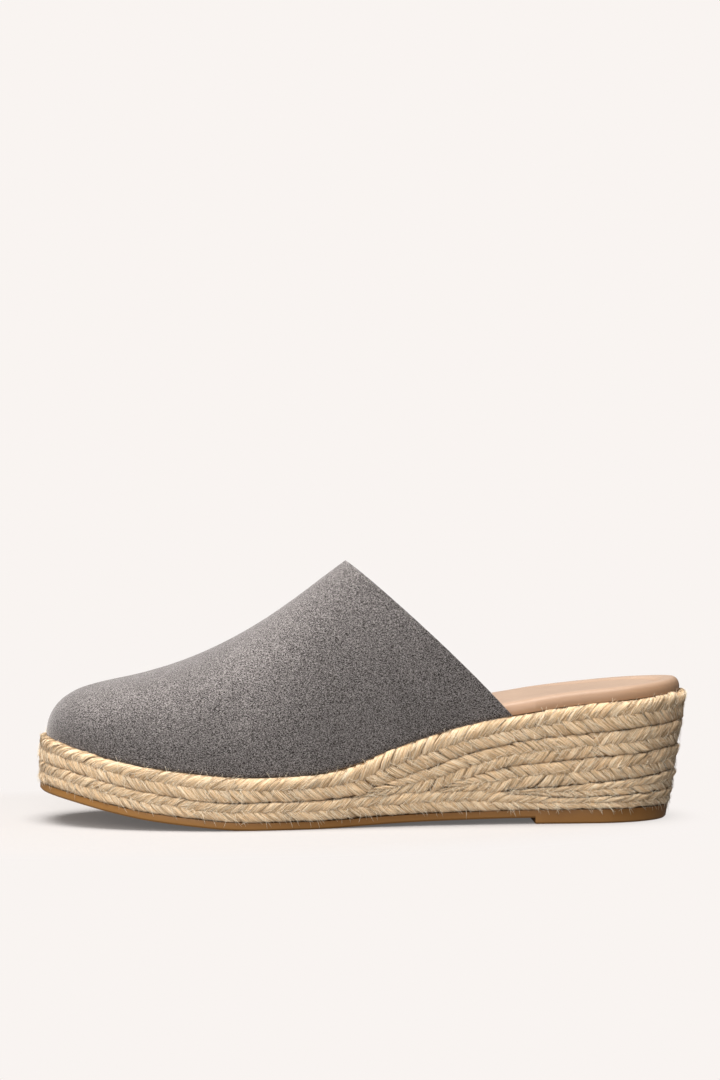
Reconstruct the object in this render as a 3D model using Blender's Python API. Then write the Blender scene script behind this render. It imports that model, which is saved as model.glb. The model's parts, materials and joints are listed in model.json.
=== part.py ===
"""Wedge mule with a suede upper on a stack of braided jute rows, left shoe, women's EU 39.

The toe points along -X, the outer (lateral) side lies at -Y and +Z is up. The shoe stands on
the floor, z = 0, with the origin under the middle of its plan. Sizes are in metres.
A place along the shoe is a share of its length: 0 at the back of the heel, 1 at the toe.
"""

import math
from bisect import bisect_right
from collections import namedtuple
from functools import partial

import bpy
from mathutils import Vector

# Overall sizes
LENGTH = 0.259  # jute to jute, heel to toe
BALL_WIDTH = 0.094  # across the jute at the ball of the foot
TOP_HEIGHT = 0.1034  # floor to the point of the vamp
HEEL_HEIGHT = 0.0510  # floor to the top of the jute at the back
PLATFORM_HEIGHT = 0.0205  # floor to the top of the jute under the ball
TOE_SPRING = 0.0131  # lift of the sole's toe off the floor

# Ends of the plan outline
HEEL_ROUND = 0.0310  # length over which the back rounds off
TOE_ROUND = 0.0760  # length over which the toe rounds off
HEEL_POWER = 2.0  # 2 is an ellipse, more is squarer
TOE_POWER = 2.25
HEEL_RAKE = 0.0079  # how far the back leans out from sole to footbed
SIDE_RAKE = 0.0032  # how far the sides lean out from sole to footbed
TOE_RAKE = 0.0008  # how far the toe leans back from sole to footbed
HEEL_REACH = 0.22  # share of the length over which the heel's lean fades out
TOE_REACH = 0.14  # share of the length over which the toe's lean fades out

# Rubber outsole
SOLE_THICKNESS = 0.0032
HEEL_LIFT = 0.0025  # moulded lift under the heel
HEEL_BREAST = 0.243  # front of the heel lift, as a share of the length
SOLE_INSET = 0.0003  # rubber set back from the face of the jute
SOLE_BEVEL = 0.0007

# Jute rows
TOP_ROW = 0.0105  # height of the row under the footbed, where rows are stacked
WEDGE_ROW = 0.0099  # height of a full row in the wedge
BOTTOM_ROW = 0.0080  # height of the row on the outsole
GROOVE = 0.0012  # depth of the groove between rows
ROW_TIP = 0.0014  # thickness at which a wedge row ends
TOP_ROUND = 0.0024  # the rounding of the top row under the upper

# Insole
RIM = 0.0025  # jute that shows outside upper and insole
INSOLE_THICKNESS = 0.0050
INSOLE_ROUND = 0.0022  # rolled edge of the insole
FORE_INSOLE = 0.0032  # its thickness under the toes
CUP = 0.0009  # depth of the dish in the insole
ARCH_RISE = 0.0030  # medial arch cushion
COVER_RUN = 0.035  # share of the length over which the insole narrows to go under the upper

# Upper
WALL = 0.0018  # suede and lining
APEX = 0.527  # point of the vamp, as a share of the length
CORNER = 0.277  # back corners of the upper, as a share of the length
COLLAR_START = 1.085  # 1 is a straight start at the point of the vamp, more rounds it
COLLAR_BOW = 0.03  # how far the collar line then bows out, as a share of its drop
COLLAR_TURN = 5.0  # more keeps the line straight for longer before it turns down
TOE_BOX = 0.0165  # length over which the vamp rises from the toe
TOE_BOX_POWER = 2.3

GAP = 0.0003  # clearance between two pieces that meet
STATION_COUNT = 54
STATION_SPACING = 0.012  # least share of the length between a station and a fixed place
END_STEP = 0.002 / LENGTH  # the next station after a row's end or the heel breast
BREAST_STEP = 0.0001 / LENGTH  # draft of the heel lift's front
UPPER_COLUMNS = 14  # facets from the feather edge to the ridge, each side
INSOLE_COLUMNS = 9  # lines along the top of the insole, between its edges
SHARP_ANGLE = math.radians(35)  # edges with a greater turn stay sharp
HALVINGS = 40  # steps of a search that halves a stretch

# Plan of the jute at the footbed. centre and half are shares of the ball width, + is medial,
# and rake is the share of SIDE_RAKE that applies there.
PlanRow = namedtuple("PlanRow", "along centre half rake")
PLAN = (
    PlanRow(0.00, 0.000, 0.335, 1.0),
    PlanRow(0.12, 0.000, 0.336, 1.0),
    PlanRow(0.25, -0.008, 0.336, 1.1),
    PlanRow(0.40, -0.033, 0.347, 1.3),
    PlanRow(0.50, -0.045, 0.375, 1.1),
    PlanRow(0.60, -0.035, 0.436, 0.6),
    PlanRow(0.68, -0.012, 0.484, 0.4),
    PlanRow(0.75, 0.005, 0.500, 0.3),
    PlanRow(0.86, 0.022, 0.496, 0.2),
    PlanRow(1.00, 0.045, 0.490, 0.0),
)

# Side view of the sole. spring is a share of TOE_SPRING, lift of HEEL_LIFT, rise of the climb
# from PLATFORM_HEIGHT to HEEL_HEIGHT, and each row of its own full height.
SideRow = namedtuple("SideRow", "along spring lift rise bottom_row wedge_row top_row")
SIDE = (
    SideRow(0.00, 0.00, 1.00, 1.000, 0.80, 1.00, 1.06),
    SideRow(0.05, 0.00, 1.00, 0.955, 0.74, 1.00, 1.07),
    SideRow(0.10, 0.00, 1.00, 0.918, 0.66, 1.00, 1.09),
    SideRow(0.20, 0.00, 1.00, 0.833, 0.58, 0.98, 1.08),
    SideRow(0.28, 0.00, 0.96, 0.718, 0.80, 0.92, 1.00),
    SideRow(0.34, 0.00, 0.86, 0.625, 1.05, 1.00, 1.05),
    SideRow(0.40, 0.00, 0.72, 0.487, 1.11, 1.00, 1.16),
    SideRow(0.46, 0.00, 0.52, 0.325, 1.08, 1.00, 1.21),
    SideRow(0.51, 0.00, 0.26, 0.160, 1.06, 1.00, 1.20),
    SideRow(0.55, 0.00, 0.06, 0.060, 1.02, 1.00, 1.10),
    SideRow(0.58, 0.00, 0.00, 0.023, 0.99, 1.00, 1.00),
    SideRow(0.68, 0.00, 0.00, 0.000, 0.95, 1.00, 0.90),
    SideRow(0.71, 0.03, 0.00, 0.000, 0.92, 1.00, 0.90),
    SideRow(0.76, 0.13, 0.00, 0.000, 0.89, 1.00, 0.92),
    SideRow(0.83, 0.30, 0.00, 0.000, 0.96, 1.00, 0.93),
    SideRow(0.89, 0.53, 0.00, 0.000, 0.99, 1.00, 0.95),
    SideRow(0.95, 0.80, 0.00, 0.008, 1.05, 1.00, 1.00),
    SideRow(1.00, 1.00, 0.00, 0.045, 1.06, 1.00, 1.00),
)

# Ridge of the last. height is a share of TOP_HEIGHT, lean of BALL_WIDTH towards the medial
# side, and power is the section's squareness, 2 for an ellipse.
LastRow = namedtuple("LastRow", "along height lean power")
LAST = (
    LastRow(0.25, 1.235, 0.060, 2.00),
    LastRow(0.40, 1.165, 0.060, 2.00),
    LastRow(0.50, 1.042, 0.055, 2.02),
    LastRow(0.55, 0.955, 0.050, 2.04),
    LastRow(0.60, 0.861, 0.045, 2.06),
    LastRow(0.65, 0.774, 0.040, 2.10),
    LastRow(0.70, 0.701, 0.034, 2.15),
    LastRow(0.75, 0.641, 0.027, 2.20),
    LastRow(0.80, 0.595, 0.018, 2.28),
    LastRow(0.85, 0.561, 0.010, 2.35),
    LastRow(0.90, 0.535, 0.004, 2.40),
    LastRow(0.95, 0.504, 0.000, 2.40),
    LastRow(1.00, 0.488, 0.000, 2.40),
)

# Insole. thin is a share of the way from INSOLE_THICKNESS to FORE_INSOLE, dish of CUP and
# arch of ARCH_RISE.
InsoleRow = namedtuple("InsoleRow", "along thin dish arch")
INSOLE = (
    InsoleRow(0.00, 0.00, 0.00, 0.00),
    InsoleRow(0.07, 0.00, 1.00, 0.00),
    InsoleRow(0.15, 0.00, 1.00, 0.00),
    InsoleRow(0.32, 0.00, 1.00, 1.00),
    InsoleRow(0.40, 0.04, 1.00, 1.00),
    InsoleRow(0.57, 0.45, 1.00, 0.00),
    InsoleRow(0.80, 0.96, 1.00, 0.00),
    InsoleRow(0.95, 1.00, 0.00, 0.00),
    InsoleRow(1.00, 1.00, 0.00, 0.00),
)

# Edge of the insole, from its underside up. inset is a share of INSOLE_ROUND.
EdgeRow = namedtuple("EdgeRow", "height inset")
INSOLE_EDGE = (
    EdgeRow(0.00, 0.10),
    EdgeRow(0.30, 0.00),
    EdgeRow(0.62, 0.12),
    EdgeRow(0.88, 0.45),
    EdgeRow(1.00, 1.00),
)

# Face of a braided row, from its underside up: two lanes of strands with a hollow between
# them. depth is a share of GROOVE below the middle of the row, and of its top's own inset above.
FaceRow = namedtuple("FaceRow", "height depth")
LOWER_LANE = (FaceRow(0.00, 1.00), FaceRow(0.20, 0.08), FaceRow(0.50, 0.35))
ROW_FACE = LOWER_LANE + (FaceRow(0.80, 0.08), FaceRow(1.00, 1.00))
TOP_ROW_FACE = LOWER_LANE + (FaceRow(0.74, 0.04), FaceRow(0.92, 0.38), FaceRow(1.00, 1.00))

Finish = namedtuple("Finish", "colour roughness")
SUEDE = Finish((0.155, 0.145, 0.142), 0.95)
JUTE = Finish((0.60, 0.44, 0.27), 0.90)
INSOLE_LEATHER = Finish((0.56, 0.36, 0.25), 0.55)
GUM_RUBBER = Finish((0.26, 0.145, 0.055), 0.50)


def follow(rows, column):
    """A smooth function of the place along the shoe through one column, with no overshoot."""
    places = [row.along for row in rows]
    values = [getattr(row, column) for row in rows]
    steps = [b - a for a, b in zip(places, places[1:])]
    slopes = [(b - a) / step for a, b, step in zip(values, values[1:], steps)]
    tangents = [slopes[0]]
    for before, after in zip(slopes, slopes[1:]):
        same_way = before * after > 0
        tangents.append(2 * before * after / (before + after) if same_way else 0.0)
    tangents.append(slopes[-1])

    def value(along):
        if along <= places[0]:
            return values[0]
        if along >= places[-1]:
            return values[-1]
        i = bisect_right(places, along) - 1
        step = steps[i]
        u = (along - places[i]) / step
        start = values[i] * (1 + 2 * u) * (1 - u) ** 2 + tangents[i] * step * u * (1 - u) ** 2
        end = values[i + 1] * u * u * (3 - 2 * u) - tangents[i + 1] * step * u * u * (1 - u)
        return start + end

    return value


plan_centre = follow(PLAN, "centre")
plan_half = follow(PLAN, "half")
plan_rake = follow(PLAN, "rake")
side_spring = follow(SIDE, "spring")
side_lift = follow(SIDE, "lift")
side_rise = follow(SIDE, "rise")
side_bottom_row = follow(SIDE, "bottom_row")
side_wedge_row = follow(SIDE, "wedge_row")
side_top_row = follow(SIDE, "top_row")
insole_thin = follow(INSOLE, "thin")
insole_dish = follow(INSOLE, "dish")
insole_arch = follow(INSOLE, "arch")
last_height = follow(LAST, "height")
last_lean = follow(LAST, "lean")
last_power = follow(LAST, "power")


def smoothstep(value, start, end):
    u = min(max((value - start) / (end - start), 0.0), 1.0)
    return u * u * (3 - 2 * u)


def along_of(x):
    return 0.5 - x / LENGTH


def round_end(distance, length, power):
    """Share of the full width at this distance from an end that rounds off over length."""
    if distance >= length:
        return 1.0
    return (1 - (1 - max(distance, 0.0) / length) ** power) ** (1 / power)


def middle_of_plan():
    """Y of the middle of the untrimmed plan, which the origin is put under."""
    steps = 400
    sides = []
    for i in range(steps + 1):
        share = i / steps
        half = plan_half(share) * round_end(share * LENGTH, HEEL_ROUND, HEEL_POWER)
        half *= round_end((1 - share) * LENGTH, TOE_ROUND, TOE_POWER)
        sides += [plan_centre(share) - half, plan_centre(share) + half]
    return BALL_WIDTH * (min(sides) + max(sides)) / 2


MIDDLE_Y = middle_of_plan()


def fade(distance, reach):
    """1 at an end of the shoe, falling to 0 at reach from it, both as shares of the length."""
    return max(1 - distance / reach, 0.0) ** 2


def outline(along, level, inset):
    """(x, lateral y, medial y) of the wedge's face, level 0 at the floor and 1 at the footbed."""
    from_heel = HEEL_RAKE * (1 - level) + inset
    from_toe = TOE_RAKE * level + inset
    x = LENGTH * (0.5 - along)
    x += from_toe * fade(1 - along, TOE_REACH) - from_heel * fade(along, HEEL_REACH)
    half = BALL_WIDTH * plan_half(along) - SIDE_RAKE * plan_rake(along) * (1 - level) - inset
    half *= round_end(LENGTH / 2 - from_heel - x, HEEL_ROUND, HEEL_POWER)
    half *= round_end(x + LENGTH / 2 - from_toe, TOE_ROUND, TOE_POWER)
    centre = BALL_WIDTH * plan_centre(along) - MIDDLE_Y
    return x, centre - half, centre + half


# Heights above the floor at a place along the shoe


def sheet_bottom(along):
    return TOE_SPRING * side_spring(along) + HEEL_LIFT * side_lift(along)


def outsole_bottom(along):
    return 0.0 if along < HEEL_BREAST - BREAST_STEP / 2 else sheet_bottom(along)


def outsole_top(along):
    return sheet_bottom(along) + SOLE_THICKNESS


def bottom_row_top(along):
    return outsole_top(along) + BOTTOM_ROW * side_bottom_row(along)


def footbed(along):
    """Top of the jute, where the upper and the insole sit."""
    climb = (HEEL_HEIGHT - PLATFORM_HEIGHT) * side_rise(along)
    return PLATFORM_HEIGHT + climb + TOE_SPRING * side_spring(along)


def row_floor(row, along):
    """Underside of a row counted down from the footbed, 0 for the top row."""
    rows = TOP_ROW * side_top_row(along) + WEDGE_ROW * side_wedge_row(along) * row
    return max(footbed(along) - rows, bottom_row_top(along))


def row_end(row):
    """How far along the shoe a wedge row reaches before it is ROW_TIP thin."""
    near, far = 0.0, 1.0
    for _ in range(HALVINGS):
        middle = (near + far) / 2
        thick = row_floor(row - 1, middle) - bottom_row_top(middle) >= ROW_TIP
        near, far = (middle, far) if thick else (near, middle)
    return near


WEDGE_ROWS = (1, 2, 3)
ROW_ENDS = {row: row_end(row) for row in WEDGE_ROWS}


def underside(row, along):
    """Underside of a row, which comes down on the bottom row where the one below it has ended."""
    below = row + 1
    if below in ROW_ENDS and along < ROW_ENDS[below] + END_STEP / 2:
        return row_floor(row, along)
    return bottom_row_top(along)


def stations():
    """Places along the shoe that every piece is built on, close together at both ends."""
    places = {(1 - math.cos(math.pi * i / STATION_COUNT)) / 2 for i in range(STATION_COUNT + 1)}
    fixed = [CORNER, HEEL_BREAST - BREAST_STEP, HEEL_BREAST]
    for end in ROW_ENDS.values():
        fixed += [end, end + END_STEP]
    free = {p for p in places if all(abs(p - f) > STATION_SPACING for f in fixed)}
    return sorted(free | set(fixed))


STATIONS = stations()


def make_object(name, points, faces, finish):
    mesh = bpy.data.meshes.new(name)
    mesh.from_pydata(points, [], faces)
    mesh.update()
    mesh.shade_smooth()
    mesh.set_sharp_from_angle(angle=SHARP_ANGLE)
    material = bpy.data.materials.new(name)
    material.use_nodes = True
    shader = material.node_tree.nodes["Principled BSDF"]
    shader.inputs["Base Color"].default_value = (*finish.colour, 1.0)
    shader.inputs["Roughness"].default_value = finish.roughness
    shader.inputs["Metallic"].default_value = 0.0
    mesh.materials.append(material)
    made = bpy.data.objects.new(name, mesh)
    bpy.context.scene.collection.objects.link(made)
    return made


def plate(name, places, edge, finish, crown=None, columns=0):
    """A closed layer that fills the plan from the heel to the last place.

    edge lists functions of the place that give (x, lateral y, medial y, z), from the underside
    to the top. crown gives the height to add on the top face at (place, share across from the
    lateral side), at that many columns between the two sides.
    """
    points, faces, rings = [], [], []
    to_toe = places[-1] == 1.0
    middle_places = places[1:-1] if to_toe else places[1:]

    def add(point):
        points.append(point)
        return len(points) - 1

    for ring_edge in edge:
        x, low, high, z = ring_edge(places[0])
        ends = [add((x, (low + high) / 2, z))]
        if to_toe:
            x, low, high, z = ring_edge(places[-1])
            ends.append(add((x, (low + high) / 2, z)))
        lateral, medial = [], []
        for place in middle_places:
            x, low, high, z = ring_edge(place)
            lateral.append(add((x, low, z)))
            medial.append(add((x, high, z)))
        loop = [ends[0]] + lateral + ends[1:] + medial[::-1]
        rings.append((loop, ends, lateral, medial))

    for (lower, *_), (upper, *_) in zip(rings, rings[1:]):
        for i in range(len(lower)):
            j = (i + 1) % len(lower)
            faces.append((lower[j], lower[i], upper[i], upper[j]))

    for ring, is_top in ((rings[0], False), (rings[-1], True)):
        _, ends, lateral, medial = ring
        lines = [lateral]
        for column in range(1, columns + 1) if is_top else ():
            across = column / (columns + 1)
            line = []
            for place, low, high in zip(middle_places, lateral, medial):
                x, y_low, z = points[low]
                y = y_low + (points[high][1] - y_low) * across
                line.append(add((x, y, z + crown(place, across))))
            lines.append(line)
        lines.append(medial)
        for near, far in zip(lines, lines[1:]):
            strip = [(near[0], ends[0], far[0])]
            strip += [
                (near[i + 1], near[i], far[i], far[i + 1]) for i in range(len(near) - 1)
            ]
            if to_toe:
                strip.append((ends[1], near[-1], far[-1]))
            faces += [face if is_top else face[::-1] for face in strip]
    return make_object(name, points, faces, finish)


def ring(height, inset, raised=0.0):
    """One edge line of a layer: height is a function of the place along, raised is added to it."""

    def at(place):
        x, low, high = outline(place, height(place) / footbed(place), inset)
        return x, low, high, height(along_of(x)) + raised

    return at


def outsole():
    edge = [
        ring(outsole_bottom, SOLE_INSET + SOLE_BEVEL),
        ring(outsole_bottom, SOLE_INSET, SOLE_BEVEL),
        ring(outsole_top, SOLE_INSET, -GAP / 2),
    ]
    return plate("outsole", STATIONS, edge, GUM_RUBBER)


def blend(lower, upper, share):
    """A height part of the way from one height to another."""
    return lambda along: lower(along) + (upper(along) - lower(along)) * share


def jute_row(name, end, lower, upper, face=ROW_FACE, top_inset=GROOVE):
    """One braided row between two heights, from the heel to its end along the shoe."""
    edge = []
    for at in face:
        raised = GAP / 2 * (1 - 2 * at.height)
        inset = at.depth * (top_inset if at.height > 0.5 else GROOVE)
        edge.append(ring(blend(lower, upper, at.height), inset, raised))
    places = [place for place in STATIONS if place <= end]
    return plate(name, places, edge, JUTE)


def jute_sole():
    jute_row("jute_row_top", 1.0, partial(underside, 0), footbed, TOP_ROW_FACE, TOP_ROUND)
    for row in WEDGE_ROWS:
        above = partial(row_floor, row - 1)
        jute_row(f"jute_row_wedge_{row}", ROW_ENDS[row], partial(underside, row), above)
    jute_row("jute_row_bottom", 1.0, outsole_top, bottom_row_top)


def insole_thickness(along):
    return INSOLE_THICKNESS + (FORE_INSOLE - INSOLE_THICKNESS) * insole_thin(along)


def insole_edge(height_share, inset):
    """An edge line of the insole, which steps inside the upper's wall at its back corners."""

    def at(place):
        covered = (WALL + GAP) * smoothstep(place, CORNER - COVER_RUN, CORNER - END_STEP)
        x, low, high = outline(place, 1.0, RIM + covered + inset)
        along = along_of(x)
        return x, low, high, footbed(along) + GAP / 2 + insole_thickness(along) * height_share

    return at


def insole_crown(along, share):
    """Height of the insole's top over its rim, share of the way across to the medial side."""
    dish = CUP * insole_dish(along) * math.sin(math.pi * share) ** 2
    return ARCH_RISE * insole_arch(along) * math.sin(math.pi * share**2) - dish


def insole():
    edge = [insole_edge(at.height, INSOLE_ROUND * at.inset) for at in INSOLE_EDGE]
    return plate("insole", STATIONS, edge, INSOLE_LEATHER, insole_crown, INSOLE_COLUMNS)


def collar_height(along):
    """Height of the collar line in side view, from its back corner up to the point of the vamp."""
    corner = footbed(CORNER)
    share = min(max((APEX - along) / (APEX - CORNER), 0.0), 1.0)
    drop = share**COLLAR_START * (1 - COLLAR_BOW * (1 - share**COLLAR_TURN))
    return TOP_HEIGHT - (TOP_HEIGHT - corner) * drop


def last_point(place, turn):
    """Point on the outside of the upper. turn runs from 0, lateral edge, over 1, the ridge, to 2."""
    x, low, high = outline(place, 1.0, RIM)
    along = along_of(x)
    base = footbed(along) + GAP / 2
    from_toe = x + LENGTH / 2 - TOE_RAKE - RIM
    rise = round_end(from_toe, TOE_BOX, TOE_BOX_POWER)
    height = (TOP_HEIGHT * last_height(along) - base) * rise
    angle = turn * math.pi / 2
    power = 2 / last_power(along)
    up = math.sin(angle) ** power if 0 < turn < 2 else 0.0
    out = abs(math.cos(angle)) ** power * (1 if turn < 1 else -1)
    y = (low + high) / 2 - out * (high - low) / 2
    return Vector((x, y + BALL_WIDTH * last_lean(along) * up * rise, base + height * up))


def collar_place(turn):
    """Place where the line of the last at this turn meets the collar."""
    if turn in (0, 2):
        return CORNER
    near, far = CORNER, APEX
    for _ in range(HALVINGS):
        middle = (near + far) / 2
        x, _, z = last_point(middle, turn)
        near, far = (middle, far) if z > collar_height(along_of(x)) else (near, middle)
    return near


def last_normal(place, turn):
    """Outward normal of the upper's outside."""
    step = 1e-4
    to_toe = last_point(place - step, turn) - last_point(place + step, turn)
    over = last_point(place, min(turn + step, 2)) - last_point(place, max(turn - step, 0))
    return to_toe.cross(over).normalized()


def upper_inside(place, turn):
    """Point on the inside of the upper. Its lowest edge stays on the footbed."""
    normal = last_normal(place, turn)
    if turn not in (0, 2):
        return last_point(place, turn) - WALL * normal
    normal.z = 0.0
    point = last_point(place, turn) - WALL * normal.normalized()
    point.z = footbed(along_of(point.x)) + GAP / 2
    return point


def upper():
    """One shell of even wall, open at the collar and underneath."""
    turns = [j / UPPER_COLUMNS for j in range(2 * UPPER_COLUMNS + 1)]
    ends = [collar_place(turn) for turn in turns]
    feather = [place for place in reversed(STATIONS) if place >= CORNER]
    last_row, last_column = len(feather) - 1, len(turns) - 1
    points, faces = [], []

    def grid(point_on, toe):
        start = len(points)
        points.append(toe)
        for place in feather[1:]:
            from_toe = (1 - place) / (1 - CORNER)
            for turn, end in zip(turns, ends):
                points.append(point_on(1 - (1 - end) * from_toe, turn))
        return lambda i, j: start if i == 0 else start + 1 + (i - 1) * len(turns) + j

    toe = last_point(1.0, 0)
    toe_inside = toe + Vector((WALL, 0, 0))
    toe_inside.z = footbed(along_of(toe_inside.x)) + GAP / 2
    outer = grid(last_point, toe)
    inner = grid(upper_inside, toe_inside)

    def add_face(*corners):
        faces.append(tuple(dict.fromkeys(corners)))

    for i in range(last_row):
        for j in range(last_column):
            add_face(outer(i + 1, j), outer(i + 1, j + 1), outer(i, j + 1), outer(i, j))
            add_face(inner(i, j), inner(i, j + 1), inner(i + 1, j + 1), inner(i + 1, j))
        add_face(inner(i, 0), inner(i + 1, 0), outer(i + 1, 0), outer(i, 0))
        far = last_column
        add_face(outer(i, far), outer(i + 1, far), inner(i + 1, far), inner(i, far))
    for j in range(last_column):
        add_face(
            outer(last_row, j), inner(last_row, j), inner(last_row, j + 1), outer(last_row, j + 1)
        )
    return make_object("upper", points, faces, SUEDE)


def main():
    for old in list(bpy.data.objects):
        bpy.data.objects.remove(old)
    outsole()
    jute_sole()
    insole()
    upper()


main()
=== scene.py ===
"""Looks of a wedge mule: suede upper, plaited jute rows, leather insole and gum rubber outsole.

Laid out as an add-on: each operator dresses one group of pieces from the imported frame.
"""

import json
import math
import random
from collections import namedtuple
from functools import partial
from itertools import product

import bmesh
import bpy
import numpy as np
from bpy.props import FloatProperty, FloatVectorProperty, IntProperty, PointerProperty
from mathutils import Euler, Matrix, Vector
from mathutils.bvhtree import BVHTree
from mathutils.kdtree import KDTree

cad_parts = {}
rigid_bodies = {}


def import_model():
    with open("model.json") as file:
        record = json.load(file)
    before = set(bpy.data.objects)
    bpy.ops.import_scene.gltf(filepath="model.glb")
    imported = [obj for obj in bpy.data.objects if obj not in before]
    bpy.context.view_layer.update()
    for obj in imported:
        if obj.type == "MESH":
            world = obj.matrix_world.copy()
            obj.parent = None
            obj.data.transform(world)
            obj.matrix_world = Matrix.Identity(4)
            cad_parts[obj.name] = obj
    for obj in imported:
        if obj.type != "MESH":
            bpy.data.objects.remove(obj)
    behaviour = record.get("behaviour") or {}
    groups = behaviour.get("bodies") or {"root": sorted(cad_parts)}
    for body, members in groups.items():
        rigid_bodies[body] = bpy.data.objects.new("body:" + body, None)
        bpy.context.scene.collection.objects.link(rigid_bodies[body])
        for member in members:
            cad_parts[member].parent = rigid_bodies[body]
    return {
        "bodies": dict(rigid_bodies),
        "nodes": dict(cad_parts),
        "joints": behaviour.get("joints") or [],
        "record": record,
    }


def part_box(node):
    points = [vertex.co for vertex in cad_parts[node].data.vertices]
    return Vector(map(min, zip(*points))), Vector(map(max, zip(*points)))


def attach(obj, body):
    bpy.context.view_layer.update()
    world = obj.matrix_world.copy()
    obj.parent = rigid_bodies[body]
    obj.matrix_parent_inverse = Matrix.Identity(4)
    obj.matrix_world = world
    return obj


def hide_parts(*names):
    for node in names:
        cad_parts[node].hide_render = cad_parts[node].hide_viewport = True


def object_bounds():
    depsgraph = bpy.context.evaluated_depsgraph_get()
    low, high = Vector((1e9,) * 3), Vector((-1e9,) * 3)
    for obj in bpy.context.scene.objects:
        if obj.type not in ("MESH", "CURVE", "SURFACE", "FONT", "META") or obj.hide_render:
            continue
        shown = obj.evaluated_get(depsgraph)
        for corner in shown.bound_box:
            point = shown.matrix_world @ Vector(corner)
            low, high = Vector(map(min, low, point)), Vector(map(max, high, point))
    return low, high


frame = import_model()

bl_info = {
    "name": "Wedge mule",
    "version": (1, 0, 0),
    "blender": (4, 5, 0),
    "location": "3D View > Sidebar > Mule",
    "description": "Dresses a wedge mule in suede, plaited jute, leather and gum rubber",
    "category": "Object",
}

CAD_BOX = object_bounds()
MM = 0.001

JUTE_ROWS = (
    "jute_row_bottom", "jute_row_wedge_1", "jute_row_wedge_2", "jute_row_wedge_3", "jute_row_top",
)


# Settings that a user would change


def colour(name, text, default):
    return FloatVectorProperty(
        name=name, description=text, default=default, subtype="COLOR", size=3, min=0.0, max=1.0
    )


def length(name, text, default):
    return FloatProperty(
        name=name, description=text, default=default, unit="LENGTH", subtype="DISTANCE", min=0.0
    )


def share(name, text, default):
    return FloatProperty(
        name=name, description=text, default=default, subtype="FACTOR", min=0.0, max=1.0
    )


def angle(name, text, default):
    return FloatProperty(name=name, description=text, default=default, unit="ROTATION", min=0.0)


def power(name, text, default):
    return FloatProperty(name=name, description=text, default=default, unit="POWER")


class PlaitSettings(bpy.types.PropertyGroup):
    pitch: length("Pitch", "Distance between strands along a row", 0.0041)
    sink: length("Core depth", "How far the dark core lies behind the strands' face", 0.0009)
    looseness: angle("Looseness", "How far a strand may turn from its place", 0.10)
    wander: angle("Wander", "How far a fibre may turn from its strand", 0.03)
    fibres: IntProperty(name="Fibres", description="Fibres that show on a strand", default=10, min=0)
    stray: IntProperty(
        name="Stray fibres", description="Loose fibres per metre of plait", default=3600, min=0
    )
    # light and dark are partly painted light: light straw is a painted highlight on the fibres in
    # front, and dark straw is painted shade between the fibres, where strands go under, and on the
    # core.
    light: colour("Light straw", "Colour of the fibres that catch the light", (0.92, 0.80, 0.61))
    middle: colour("Straw", "Main colour of the jute", (0.82, 0.58, 0.34))
    dark: colour("Dark straw", "Colour between the fibres", (0.33, 0.185, 0.080))


class SuedeSettings(bpy.types.PropertyGroup):
    light: colour("Raised nap", "Colour of the nap that stands up", (0.405, 0.368, 0.354))
    dark: colour("Laid nap", "Colour of the nap that lies down", (0.016, 0.013, 0.012))
    lining: colour("Lining", "Colour of the inside", (0.52, 0.40, 0.30))
    edge: colour("Cut edge", "Colour of the raw edge at the collar", (0.34, 0.31, 0.29))
    nap: length("Nap", "Size of the mottle in the nap", 0.00047)


class InsoleSettings(bpy.types.PropertyGroup):
    leather: colour("Leather", "Main colour of the insole", (0.445, 0.314, 0.228))
    rim: colour("Rim", "Colour of the rolled rim", (0.375, 0.222, 0.128))
    groove_inset: length("Groove inset", "Distance from the edge to the groove", 0.0082)
    groove_width: length("Groove width", "Half the width of the groove", 0.0013)
    groove_depth: length("Groove depth", "Depth of the groove", 0.0005)
    roll: length("Roll", "Height of the padded rim", 0.0006)


class OutsoleSettings(bpy.types.PropertyGroup):
    rubber: colour("Rubber", "Main colour of the outsole", (0.180, 0.080, 0.021))
    # Painted light: the colour that the rubber is lightened to at its toe and lower edge.
    light: colour("Light rubber", "Colour towards the toe and the lower edge", (0.44, 0.215, 0.062))
    bevel: length("Bevel", "Rounding of the moulded edges", 0.0004)


class StageSettings(bpy.types.PropertyGroup):
    backdrop: colour("Backdrop", "Colour of floor and background", (0.947, 0.905, 0.880))
    floor: share("Floor", "How much of the light on it the floor gives back", 0.50)
    bounce: share("Bounce", "Share of the floor's own light that reaches the shoe", 0.5)
    ambient: share("Ambient", "Light from all around, as a share of the backdrop", 0.20)
    key: power("Key light", "Power of the top light", 88.0)
    fill: power("Fill light", "Power of the front light", 26.0)


class MuleSettings(bpy.types.PropertyGroup):
    plait: PointerProperty(type=PlaitSettings, name="Plait", description="Jute rows")
    suede: PointerProperty(type=SuedeSettings, name="Suede", description="Upper")
    insole: PointerProperty(type=InsoleSettings, name="Insole", description="Insole")
    outsole: PointerProperty(type=OutsoleSettings, name="Outsole", description="Outsole")
    stage: PointerProperty(type=StageSettings, name="Stage", description="Floor, lights and camera")


# Node trees


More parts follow.
